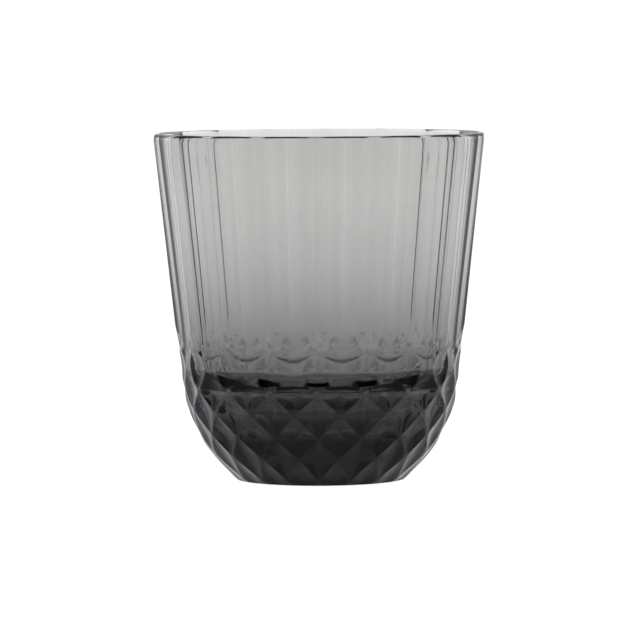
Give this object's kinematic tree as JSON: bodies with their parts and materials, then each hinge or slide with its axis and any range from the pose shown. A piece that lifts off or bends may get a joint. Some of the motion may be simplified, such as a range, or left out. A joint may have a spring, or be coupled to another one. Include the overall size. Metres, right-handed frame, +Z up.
{
  "type": "whiskey tumbler",
  "caption": "Low smoke-grey glass tumbler with shallow vertical flutes above a base of diamond dishes; open top, stands on a flat foot and holds a drink.",
  "frame": {"origin": "centre of the underside, on the surface the glass stands on", "axes": "+Z up along the glass's own axis, +X through the middle of one flute"},
  "size_m": [0.0874, 0.0888, 0.092],
  "materials": {
    "clear_glass": "fire-polished pressed glass",
    "smoke_tint": "glossy translucent smoke-grey film, light at the top and near black at the base"
  },
  "bodies": {
    "root": {"glass_body": "clear_glass", "smoke_film": "smoke_tint"}
  },
  "joints": []
}
